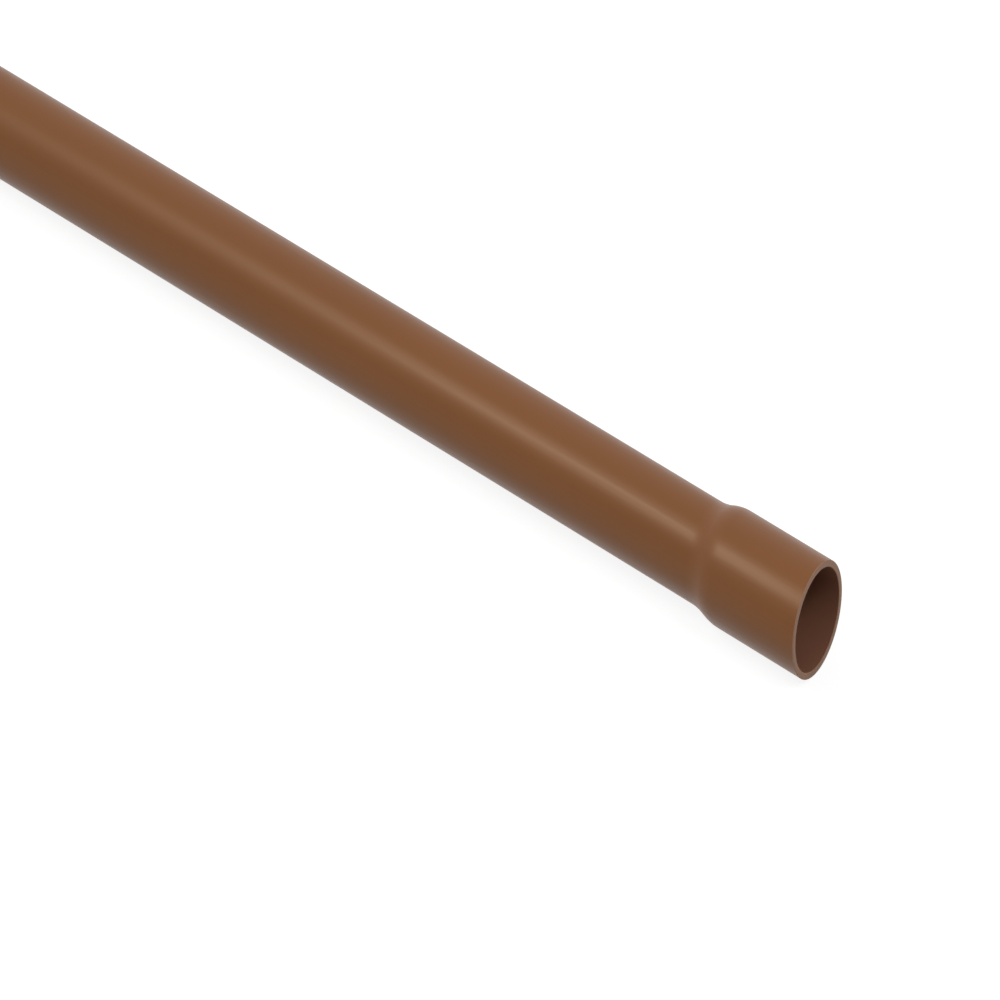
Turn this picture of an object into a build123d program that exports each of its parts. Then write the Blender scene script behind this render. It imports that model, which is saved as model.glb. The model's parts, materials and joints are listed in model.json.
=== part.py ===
"""A length of brown PVC water pipe with a belled end, extruded and then expanded in one piece.

The pipe lies on the floor with its axis along X. The bell's mouth faces +X and the plain end
faces -X. The origin is on the floor, under the middle of the length.
"""

import os

from build123d import *

# Driving dimensions, in millimetres
length = 3000.0  # overall, from the plain end to the mouth of the bell
outside_diameter = 25.0  # of the barrel
wall = 1.7  # of the barrel
socket_depth = 32.0  # straight part of the bell, from its mouth to the flare
socket_wall = 1.65  # of the bell, drawn thinner as the heated end is expanded
socket_clearance = 0.05  # all round, between the bell and the plain end of the next pipe
flare_length = 11.0  # the S-curve that joins the barrel to the bell
mouth_round = 0.2  # edges of the mouth
cut_chamfer = 0.3  # edges of the plain end, broken after the saw

# Radii, each from the surface that it has to fit
barrel_radius = outside_diameter / 2
bore_radius = barrel_radius - wall
socket_radius = barrel_radius + socket_clearance
bell_radius = socket_radius + socket_wall

# Stations along the axis
mouth_x = length / 2
plain_end_x = -length / 2
flare_bell_x = mouth_x - socket_depth
flare_barrel_x = flare_bell_x - flare_length

# The bell is the widest part, so it sets the height of the axis above the floor
axis_height = bell_radius
axis_origin = (0, 0, axis_height)
pipe_axis = Axis(axis_origin, (1, 0, 0))
section_plane = Plane(origin=axis_origin, x_dir=(1, 0, 0), z_dir=(0, -1, 0))


def flare(barrel_side_radius, bell_side_radius):
    """Draw the S-curve of one surface: two equal arcs, level where they leave barrel and bell."""
    start = Vector(flare_barrel_x, barrel_side_radius)
    end = Vector(flare_bell_x, bell_side_radius)
    middle = (start + end) / 2
    rise = TangentArc(start, middle, tangent=(1, 0))
    TangentArc(middle, end, tangent=rise % 1)


# Half section of the wall, turned once about the axis
with BuildPart() as pipe:
    with BuildSketch(section_plane) as wall_section:
        with BuildLine():
            Line((plain_end_x, barrel_radius), (flare_barrel_x, barrel_radius))
            flare(barrel_radius, bell_radius)
            Line((flare_bell_x, bell_radius), (mouth_x, bell_radius))
            Line((mouth_x, bell_radius), (mouth_x, socket_radius))
            Line((mouth_x, socket_radius), (flare_bell_x, socket_radius))
            flare(bore_radius, socket_radius)
            Line((flare_barrel_x, bore_radius), (plain_end_x, bore_radius))
            Line((plain_end_x, bore_radius), (plain_end_x, barrel_radius))
        make_face()
        corners = wall_section.vertices().group_by(Axis.X)
        chamfer(corners[0], length=cut_chamfer)
        fillet(corners[-1], radius=mouth_round)
    revolve(axis=pipe_axis)

pipe.part.label = "pipe"
os.makedirs("parts", exist_ok=True)
export_step(pipe.part, "parts/pipe.step")
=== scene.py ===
"""A length of brown PVC water pipe with a belled end, turned smooth, dressed and lit.

The pipe lies on the floor with its axis along X and the mouth of its bell towards +X.
Lengths are in metres.
"""

import json
import logging
import math
from dataclasses import dataclass
from enum import Enum
from typing import Any

import bpy
import numpy as np
from mathutils import Matrix, Vector


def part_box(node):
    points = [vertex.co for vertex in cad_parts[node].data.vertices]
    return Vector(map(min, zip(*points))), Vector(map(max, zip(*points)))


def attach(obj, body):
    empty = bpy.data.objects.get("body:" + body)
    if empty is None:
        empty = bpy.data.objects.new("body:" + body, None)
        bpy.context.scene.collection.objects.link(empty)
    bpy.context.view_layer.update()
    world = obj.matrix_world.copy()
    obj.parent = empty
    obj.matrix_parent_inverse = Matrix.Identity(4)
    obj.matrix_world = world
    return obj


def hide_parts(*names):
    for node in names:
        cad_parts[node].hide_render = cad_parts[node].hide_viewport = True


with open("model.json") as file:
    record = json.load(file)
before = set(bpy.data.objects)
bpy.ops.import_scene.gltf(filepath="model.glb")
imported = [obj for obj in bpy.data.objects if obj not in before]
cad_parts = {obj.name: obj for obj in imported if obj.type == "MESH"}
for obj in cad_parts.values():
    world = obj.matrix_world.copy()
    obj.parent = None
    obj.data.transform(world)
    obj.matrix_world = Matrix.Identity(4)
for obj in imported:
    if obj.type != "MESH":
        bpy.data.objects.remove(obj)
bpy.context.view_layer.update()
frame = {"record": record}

MILLIMETRE = 0.001
log = logging.getLogger("pvc_pipe")

Colour = tuple[float, float, float]
Point = tuple[float, float]
Triple = tuple[float, float, float]


class Surface(Enum):
    """A stretch of the wall with a finish of its own, by the index of its material."""

    SKIN = 0
    BORE = 1
    CUT = 2


class NodeBench:
    """A shader's node tree, emptied and ready to be wired."""

    def __init__(self, owner: bpy.types.Material | bpy.types.World) -> None:
        """Empty the owner's tree.

        Args:
            owner: The material or world whose nodes are made here.
        """
        owner.use_nodes = True
        self.tree = owner.node_tree
        self.tree.nodes.clear()

    def add(self, kind: str, sockets: dict[str | int, Any] | None = None, **settings: Any) -> bpy.types.Node:
        """Make a node.

        Args:
            kind: Blender's name of the node type, after "ShaderNode".
            sockets: Values or links for its inputs, by the input's name or number.
            settings: Values for the node's own properties.

        Returns:
            The node, set and wired.
        """
        node = self.tree.nodes.new("ShaderNode" + kind)
        for name, value in settings.items():
            setattr(node, name, value)
        for name, value in (sockets or {}).items():
            if isinstance(value, bpy.types.NodeSocket):
                self.tree.links.new(value, node.inputs[name])
            else:
                node.inputs[name].default_value = value
        return node

    def spread(self, value: bpy.types.NodeSocket, low: float, high: float,
               start: float = 0.0, end: float = 1.0) -> bpy.types.NodeSocket:
        """Map a value to another range.

        Args:
            value: The value to map.
            low: The result at start.
            high: The result at end.
            start: Where the range begins.
            end: Where the range ends.

        Returns:
            The mapped value.
        """
        limits = {"Value": value, "From Min": start, "From Max": end, "To Min": low, "To Max": high}
        return self.add("MapRange", limits).outputs["Result"]

    def place(self) -> bpy.types.NodeSocket:
        """Return the place on the object, in metres."""
        return self.add("TexCoord").outputs["Object"]

    def stretched(self, stretch: Triple) -> bpy.types.NodeSocket:
        """Return the place on the object, with each axis multiplied."""
        product = self.add("VectorMath", {0: self.place(), 1: stretch}, operation="MULTIPLY")
        return product.outputs["Vector"]


@dataclass(frozen=True)
class PvcFinish:
    """The brown plastic as one step of its making leaves it.

    Marks and clouds are given as how many there are to a metre, along each axis. The noise that
    makes them keeps mostly between noise_low and noise_high.
    """

    name: str
    colour: Colour
    rough: float
    marks: Triple
    mark_depth: float
    rough_spread: float = 0.03
    mark_detail: float = 3.0
    cloud: float = 0.03
    clouds: Triple = (12.0, 60.0, 60.0)
    cloud_detail: float = 4.0
    noise_low: float = 0.3
    noise_high: float = 0.7
    shine: float = 0.40
    shine_tint: Colour = (1.0, 0.81, 0.60)

    def pattern(self, bench: NodeBench, marks: Triple, detail: float) -> bpy.types.NodeSocket:
        """Make a noise pattern and stretch its value from nearly 0 to nearly 1.

        Args:
            bench: The material's nodes.
            marks: How many marks to a metre, along each axis.
            detail: How many finer layers the noise has.

        Returns:
            The pattern's value.
        """
        noise = bench.add("TexNoise", {"Vector": bench.stretched(marks), "Scale": 1.0, "Detail": detail})
        return bench.spread(noise.outputs["Fac"], 0.0, 1.0, self.noise_low, self.noise_high)

    def roughness(self, bench: NodeBench, lines: bpy.types.NodeSocket) -> bpy.types.NodeSocket:
        """Return the roughness, which the lines make uneven."""
        return bench.spread(lines, self.rough - self.rough_spread, self.rough + self.rough_spread)

    def shade(self, level: float) -> tuple[float, float, float, float]:
        """Return the colour at a level, as a socket takes it."""
        return (*[part * level for part in self.colour], 1.0)

    def material(self) -> bpy.types.Material:
        """Make the material: clouded colour, uneven roughness and fine marks.

        Returns:
            The material.
        """
        made = bpy.data.materials.new(self.name)
        bench = NodeBench(made)
        lines = self.pattern(bench, self.marks, self.mark_detail)
        tint = bench.add("MixRGB", {
            "Fac": self.pattern(bench, self.clouds, self.cloud_detail),
            "Color1": self.shade(1 - self.cloud),
            "Color2": self.shade(1 + self.cloud),
        })
        bump = bench.add("Bump", {"Height": lines, "Distance": self.mark_depth})
        shader = bench.add("BsdfPrincipled", {
            "Base Color": tint.outputs["Color"],
            "Roughness": self.roughness(bench, lines),
            "Specular IOR Level": self.shine,
            "Specular Tint": (*self.shine_tint, 1.0),
            "Normal": bump.outputs["Normal"],
        })
        bench.add("OutputMaterial", {"Surface": shader.outputs["BSDF"]})
        return made


@dataclass(frozen=True)
class FormedFinish(PvcFinish):
    """The skin, which is glossier where the heated end was formed into the bell."""

    formed_rough: float = 0.37
    formed_from: float = 0.0
    formed_to: float = 1.0

    def roughness(self, bench: NodeBench, lines: bpy.types.NodeSocket) -> bpy.types.NodeSocket:
        """Return the roughness, which falls along the flare.

        Args:
            bench: The material's nodes.
            lines: The value of the extrusion lines, which make it uneven.

        Returns:
            The roughness.
        """
        along = bench.add("SeparateXYZ", {"Vector": bench.place()}).outputs["X"]
        level = bench.spread(along, self.rough, self.formed_rough, self.formed_from, self.formed_to)
        uneven = bench.spread(lines, -self.rough_spread, self.rough_spread)
        return bench.add("Math", {0: level, 1: uneven}, operation="ADD").outputs["Value"]


@dataclass(frozen=True)
class PipeSizes:
    """The pipe's sizes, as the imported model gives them."""

    barrel_radius: float
    bore_radius: float
    socket_radius: float
    bell_radius: float
    plain_end_x: float
    barrel_start_x: float
    flare_barrel_x: float
    flare_bell_x: float
    socket_end_x: float
    mouth_x: float

    @classmethod
    def from_frame(cls, record: dict[str, Any]) -> "PipeSizes":
        """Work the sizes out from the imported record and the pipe's box.

        Args:
            record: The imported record, whose mounts are the barrel, the bore and the socket.

        Returns:
            The sizes.
        """
        low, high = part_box("pipe")
        mounts = {mount["name"]: mount for mount in record["mounts"]}
        radius = {name: mount["dims"]["r_mm"] * MILLIMETRE for name, mount in mounts.items()}
        half = {name: mount["dims"]["length_mm"] * MILLIMETRE / 2 for name, mount in mounts.items()}
        middle = {name: mount["pos_m"][0] for name, mount in mounts.items()}
        return cls(
            barrel_radius=radius["barrel"],
            bore_radius=radius["bore"],
            socket_radius=radius["socket"],
            bell_radius=mounts["socket"]["pos_m"][2],
            plain_end_x=low.x,
            barrel_start_x=middle["barrel"] - half["barrel"],
            flare_barrel_x=middle["barrel"] + half["barrel"],
            flare_bell_x=middle["socket"] - half["socket"],
            socket_end_x=middle["socket"] + half["socket"],
            mouth_x=high.x,
        )


@dataclass
class BelledPipe:
    """The pipe: barrel, flare and bell in one wall, turned about the axis."""

    sizes: PipeSizes
    turns: int = 192
    barrel_steps: int = 48
    flare_steps: int = 24
    round_steps: int = 8
    sharp_angle: float = math.radians(30)
    strips: int = 8
    strip_gap: float = 0.004

    def flare(self, barrel_side: float, bell_side: float) -> list[Point]:
        """Return points along the S-curve of one surface, from the barrel to the bell.

        Args:
            barrel_side: The surface's radius on the barrel.
            bell_side: Its radius on the bell.

        Returns:
            Points (x, radius) on two equal arcs that are level at both ends.
        """
        s = self.sizes
        half_length = (s.flare_bell_x - s.flare_barrel_x) / 2
        half_rise = (bell_side - barrel_side) / 2
        arc_radius = (half_length**2 + half_rise**2) / (2 * half_rise)
        points = []
        for step in range(1, self.flare_steps):
            along = 2 * half_length * step / self.flare_steps
            from_end = min(along, 2 * half_length - along)
            lift = arc_radius - math.sqrt(arc_radius**2 - from_end**2)
            radius = barrel_side + lift if along < half_length else bell_side - lift
            points.append((s.flare_barrel_x + along, radius))
        return points

    def lip(self, centre: Point, start: float) -> list[Point]:
        """Return points on a quarter round of the mouth, turning inwards.

        Args:
            centre: The centre (x, radius) of the round.
            start: The angle that it starts at.

        Returns:
            Points (x, radius), both ends among them.
        """
        size = self.sizes.mouth_x - self.sizes.socket_end_x
        angles = (start - math.pi / 2 * step / self.round_steps for step in range(self.round_steps + 1))
        return [(centre[0] + size * math.cos(a), centre[1] + size * math.sin(a)) for a in angles]

    def run(self, start: Point, end: Point) -> list[Point]:
        """Return points on a straight run of the barrel, both ends among them."""
        return [tuple(point) for point in np.linspace(start, end, self.barrel_steps + 1)]

    def section(self) -> tuple[list[Point], list[Surface]]:
        """Draw the half section of the wall.

        Returns:
            Its points (x, radius) in order, and the surface that follows each point.
        """
        s = self.sizes
        chamfer = s.barrel_start_x - s.plain_end_x
        size = s.mouth_x - s.socket_end_x
        outer_lip = self.lip((s.socket_end_x, s.bell_radius - size), math.pi / 2)
        inner_lip = self.lip((s.socket_end_x, s.socket_radius + size), 0.0)
        skin = self.run((s.barrel_start_x, s.barrel_radius), (s.flare_barrel_x, s.barrel_radius))
        bore = self.run((s.flare_barrel_x, s.bore_radius), (s.barrel_start_x, s.bore_radius))
        stretches = [
            (Surface.CUT, [(s.plain_end_x, s.barrel_radius - chamfer)]),
            (Surface.SKIN, skin),
            (Surface.SKIN, self.flare(s.barrel_radius, s.bell_radius)),
            (Surface.SKIN, [(s.flare_bell_x, s.bell_radius)]),
            (Surface.CUT, outer_lip + inner_lip[:-1]),
            (Surface.BORE, [inner_lip[-1], (s.flare_bell_x, s.socket_radius)]),
            (Surface.BORE, self.flare(s.bore_radius, s.socket_radius)[::-1]),
            (Surface.BORE, bore[:-1]),
            (Surface.CUT, [bore[-1], (s.plain_end_x, s.bore_radius + chamfer)]),
        ]
        points = [point for _, stretch in stretches for point in stretch]
        surfaces = [surface for surface, stretch in stretches for _ in stretch]
        return points, surfaces

    def build(self) -> bpy.types.Object:
        """Turn the section about the axis.

        Returns:
            The pipe's wall, with its surfaces numbered and rolled out.
        """
        points, surfaces = self.section()
        x, radius = np.array(points).T
        angle = np.arange(self.turns) * 2 * math.pi / self.turns
        rings, turns = len(points), self.turns
        vertices = np.empty((rings, turns, 3))
        vertices[:, :, 0] = x[:, None]
        vertices[:, :, 1] = radius[:, None] * np.sin(angle)
        vertices[:, :, 2] = radius[:, None] * np.cos(angle) + self.sizes.bell_radius
        ring, turn = np.meshgrid(np.arange(rings), np.arange(turns), indexing="ij")
        ahead, beside = (ring + 1) % rings, (turn + 1) % turns
        corners = [(ring, turn), (ahead, turn), (ahead, beside), (ring, beside)]
        faces = np.stack([r * turns + t for r, t in corners], axis=-1).reshape(-1, 4)
        mesh = bpy.data.meshes.new("pipe_wall")
        mesh.from_pydata(vertices.reshape(-1, 3).tolist(), [], faces.tolist())
        mesh.polygons.foreach_set("material_index", np.repeat([s.value for s in surfaces], turns))
        self.unwrap(mesh, np.array(points))
        mesh.shade_smooth()
        mesh.set_sharp_from_angle(angle=self.sharp_angle)
        wall = bpy.data.objects.new("pipe_wall", mesh)
        bpy.context.scene.collection.objects.link(wall)
        return wall

    def unwrap(self, mesh: bpy.types.Mesh, points: np.ndarray) -> None:
        """Roll the wall out flat, in strips side by side, so that baked detail is as fine on all of it.

        Args:
            mesh: The wall, whose faces follow the section and then the turn.
            points: The section's points (x, radius).
        """
        steps = np.hypot(*(np.roll(points, -1, axis=0) - points).T)
        reach = np.concatenate([[0.0], np.cumsum(steps)])
        strip = np.floor((reach[:-1] + steps / 2) / reach[-1] * self.strips).astype(int)
        around = 2 * math.pi * self.sizes.bell_radius
        height = around + self.strip_gap
        starts = np.array([reach[:-1][strip == number].min() for number in range(self.strips)])
        ends = np.array([reach[1:][strip == number].max() for number in range(self.strips)])
        side = max((ends - starts).max(), height * self.strips)
        turn = np.arange(self.turns) * around / self.turns
        ahead = turn + around / self.turns
        along = np.stack([reach[:-1], reach[1:], reach[1:], reach[:-1]], axis=-1) - starts[strip][:, None]
        across = np.stack([turn, turn, ahead, ahead], axis=-1)
        uv = np.empty((len(points), self.turns, 4, 2))
        uv[..., 0] = along[:, None, :]
        uv[..., 1] = across[None, :, :] + (strip * height)[:, None, None]
        layer = mesh.uv_layers.new(name="OFBake")
        layer.data.foreach_set("uv", (uv / side).ravel())

    def dress(self, wall: bpy.types.Object, finishes: dict[Surface, PvcFinish]) -> None:
        """Give each surface its finish."""
        for surface in Surface:
            wall.data.materials.append(finishes[surface].material())

    def place(self, wall: bpy.types.Object) -> None:
        """Let the pipe stand for its node and ride on the body.

        Args:
            wall: The pipe's wall.
        """
        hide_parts("pipe")
        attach(wall, "root")


@dataclass(frozen=True)
class SoftLamp:
    """A flat lamp that shines evenly from its whole face."""

    name: str
    aim: Triple
    way: Triple
    distance: float
    size: tuple[float, float]
    radiance: float
    shift: float = 0.0
    spread: float = math.pi

    def hang(self) -> bpy.types.Object:
        """Hang the lamp, its face square to the way from its aim and its length as near X as that allows.

        Returns:
            The lamp, which lights but is not seen.
        """
        aim, way = Vector(self.aim), Vector(self.way).normalized()
        across = way.cross(Vector((1, 0, 0))).normalized()
        along = across.cross(way)
        light = bpy.data.lights.new(self.name, "AREA")
        light.shape = "RECTANGLE"
        light.size, light.size_y = self.size
        light.spread = self.spread
        light.energy = self.radiance * math.pi * light.size * light.size_y
        lamp = bpy.data.objects.new(self.name, light)
        lamp.location = aim + way * self.distance + along * self.shift
        lamp.rotation_euler = Matrix((along, across, way)).transposed().to_euler()
        lamp.visible_camera = False
        bpy.context.scene.collection.objects.link(lamp)
        return lamp


@dataclass(frozen=True)
class PaleFinish:
    """A pale surface that the camera and reflections see as white, with a light shadow.

    The glow is how much of that white is there without any light.
    """

    name: str
    glow: float
    colour: Colour = (0.37, 0.37, 0.37)
    seen_colour: Colour = (0.20, 0.20, 0.20)

    def material(self) -> bpy.types.Material:
        """Make the material: plain and matt for the light, white for what sees it.

        Returns:
            The material.
        """
        made = bpy.data.materials.new(self.name)
        bench = NodeBench(made)
        ray = bench.add("LightPath").outputs
        mirrored = bench.add("Math", {
            0: ray["Is Glossy Ray"], 1: ray["Is Transmission Ray"],
        }, operation="MAXIMUM")
        seen = bench.add("Math", {
            0: ray["Is Camera Ray"], 1: mirrored.outputs["Value"],
        }, operation="MAXIMUM")
        light = bench.add("Emission", {"Strength": self.glow})
        shaded = bench.add("BsdfDiffuse", {"Color": (*self.seen_colour, 1.0)})
        white = bench.add("AddShader", {0: shaded.outputs["BSDF"], 1: light.outputs["Emission"]})
        plain = bench.add("BsdfDiffuse", {"Color": (*self.colour, 1.0)})
        both = bench.add("MixShader", {
            "Fac": seen.outputs["Value"], 1: plain.outputs["BSDF"], 2: white.outputs["Shader"],
        })
        bench.add("OutputMaterial", {"Surface": both.outputs["Shader"]})
        return made


@dataclass
class Studio:
    """A wide pale floor with a low backdrop round it, a dome of light and three soft lamps.

    The main lamp draws the narrow highlight, the mouth lamp reaches into the bell, and the barrel
    lamp carries the same light on to the plain end.
    """

    floor_radius: float = 100.0
    floor_sides: int = 48
    backdrop_height: float = 2.0
    floor_finish: PaleFinish = PaleFinish("pale_floor", glow=0.88)
    backdrop_finish: PaleFinish = PaleFinish("pale_backdrop", glow=1.0)
    dome_way: Triple = (-0.900, 0.436, 0.0)
    dome_near: float = 0.17
    dome_far: float = 1.22
    main_lamp: SoftLamp = SoftLamp(
        "main_lamp", aim=(1.404, -0.008, 0.024), way=(-0.450, -0.473, 0.749), distance=1.2,
        size=(0.10, 0.40), radiance=33.0, shift=0.083,
    )
    mouth_lamp: SoftLamp = SoftLamp(
        "mouth_lamp", aim=(1.500, 0.0, 0.0142), way=(0.64, -0.10, 0.77), distance=1.2,
        size=(0.5, 0.5), radiance=6.2,
    )
    barrel_lamp: SoftLamp = SoftLamp(
        "barrel_lamp", aim=(-0.95, 0.0, 0.0142), way=(0.0, -0.534, 0.845), distance=1.06,
        size=(2.8, 0.40), radiance=1.0, spread=math.radians(90),
    )

    def sheet(self, name: str, points: list[Triple], faces: list[tuple[int, ...]],
              finish: PaleFinish) -> bpy.types.Object:
        """Make one pale sheet of the studio.

        Args:
            name: The sheet's name.
            points: Its corners.
            faces: The corners of each face.
            finish: Its finish.

        Returns:
            The sheet, which is no part of the pipe.
        """
        mesh = bpy.data.meshes.new(name)
        mesh.from_pydata(points, [], faces)
        mesh.materials.append(finish.material())
        made = bpy.data.objects.new(name, mesh)
        bpy.context.scene.collection.objects.link(made)
        return made

    def ring(self, height: float) -> list[Triple]:
        """Return the corners of the floor's edge, lifted to a height."""
        angles = [2 * math.pi * corner / self.floor_sides for corner in range(self.floor_sides)]
        return [(self.floor_radius * math.cos(a), self.floor_radius * math.sin(a), height) for a in angles]

    def floor(self) -> bpy.types.Object:
        """Lay the round floor."""
        return self.sheet("floor", self.ring(0.0), [tuple(range(self.floor_sides))], self.floor_finish)

    def backdrop(self) -> bpy.types.Object:
        """Stand the backdrop round the edge of the floor.

        Returns:
            The backdrop.
        """
        sides = self.floor_sides
        foot = [(corner, (corner + 1) % sides) for corner in range(sides)]
        faces = [(here, beside, sides + beside, sides + here) for here, beside in foot]
        points = self.ring(0.0) + self.ring(self.backdrop_height)
        return self.sheet("backdrop", points, faces, self.backdrop_finish)

    def dome(self) -> bpy.types.World:
        """Light the scene from all round, most from far behind the pipe's plain end.

        Returns:
            The world, which holds the light.
        """
        away, towards = -1.0, 1.0
        world = bpy.data.worlds.new("soft_dome")
        bench = NodeBench(world)
        way = bench.add("TexCoord").outputs["Generated"]
        turned = bench.add("VectorMath", {0: way, 1: self.dome_way}, operation="DOT_PRODUCT")
        level = bench.spread(turned.outputs["Value"], self.dome_near, self.dome_far, away, towards)
        light = bench.add("Background", {"Strength": level})
        bench.add("OutputWorld", {"Surface": light.outputs["Background"]})
        bpy.context.scene.world = world
        return world


@dataclass
class PictureCamera:
    """The camera, whose picture plane leans back, so that the view is narrower than it is high.

    The focus is in picture widths, the sensor in millimetres and the rest in metres and radians.
    """

    yaw: float = math.radians(35.944)
    pitch: float = math.radians(36.253)
    squeeze: float = 1.4343
    picture_focus: float = 12.1733
    mouth_right: float = 0.10143
    mouth_up: float = -0.02670
    mouth_ahead: float = 3.91574
    sensor: float = 36.0
    sight: float = 1000.0

    def place(self, mouth: Vector) -> bpy.types.Object:
        """Set the camera up.

        Args:
            mouth: The centre of the bell's mouth, which the place is measured from.

        Returns:
            The camera.
        """
        right = Vector((math.cos(self.yaw), math.sin(self.yaw), 0.0))
        level = Vector((-math.sin(self.yaw), math.cos(self.yaw), 0.0))
        ahead = level * math.cos(self.pitch) - Vector((0.0, 0.0, math.sin(self.pitch)))
        up = right.cross(ahead)
        lean = math.acos(1 / self.squeeze)
        upright = up * math.cos(lean) - ahead * math.sin(lean)
        here = mouth - right * self.mouth_right - up * self.mouth_up - ahead * self.mouth_ahead
        placed = Matrix((right, upright, -ahead)).transposed().to_4x4()
        placed.translation = here
        data = bpy.data.cameras.new("camera")
        data.sensor_width = self.sensor
        data.lens = self.picture_focus * self.sensor
        data.clip_end = self.sight
        camera = bpy.data.objects.new("camera", data)
        stand = bpy.data.objects.new("camera_stand", None)
        for thing in (stand, camera):
            bpy.context.scene.collection.objects.link(thing)
        camera.parent = stand
        camera.matrix_parent_inverse = placed
        bpy.context.scene.camera = camera
        return camera


# Linear colours of the skin, the bore and the cut faces
BROWN: Colour = (0.2045, 0.0755, 0.0243)
BORE_BROWN: Colour = (0.221, 0.097, 0.058)
SAWN_BROWN: Colour = (0.305, 0.169, 0.109)

# Marks to a metre along each axis, and how deep they are
DRAWN_LINES: Triple = (9.0, 900.0, 900.0)
SAW_MARKS: Triple = (2500.0, 2500.0, 125.0)
LINE_DEPTH = 0.004 * MILLIMETRE
SAW_DEPTH = 0.010 * MILLIMETRE


def choose_finishes(sizes: PipeSizes) -> dict[Surface, PvcFinish]:
    """Choose the finish of each surface.

    Args:
        sizes: The pipe's sizes, which say where the bell is.

    Returns:
        The finishes, by surface.
    """
    return {
        Surface.SKIN: FormedFinish(
            "extruded_skin", BROWN, rough=0.375, marks=DRAWN_LINES, mark_depth=LINE_DEPTH,
            formed_from=sizes.flare_barrel_x, formed_to=sizes.flare_bell_x,
        ),
        Surface.BORE: PvcFinish(
            "dull_bore", BORE_BROWN, rough=0.50, marks=DRAWN_LINES, mark_depth=LINE_DEPTH, shine=0.30,
        ),
        Surface.CUT: PvcFinish(
            "saw_cut", SAWN_BROWN, rough=0.55, marks=SAW_MARKS, mark_depth=SAW_DEPTH, cloud=0.06,
        ),
    }


def main() -> None:
    """Build the pipe, the studio and the camera."""
    logging.basicConfig(level=logging.INFO, format="%(name)s: %(message)s")
    bpy.context.scene.view_settings.view_transform = "Standard"
    sizes = PipeSizes.from_frame(frame["record"])
    pipe = BelledPipe(sizes)
    wall = pipe.build()
    pipe.dress(wall, choose_finishes(sizes))
    pipe.place(wall)
    log.info("%s has %d faces", wall.name, len(wall.data.polygons))
    studio = Studio()
    lamps = [lamp.hang() for lamp in (studio.main_lamp, studio.mouth_lamp, studio.barrel_lamp)]
    for made in (studio.floor(), studio.backdrop(), studio.dome(), *lamps):
        log.info("%s is set", made.name)
    camera = PictureCamera().place(Vector((sizes.mouth_x, 0.0, sizes.bell_radius)))
    log.info("%s is set", camera.name)


if __name__ == "__main__":
    main()
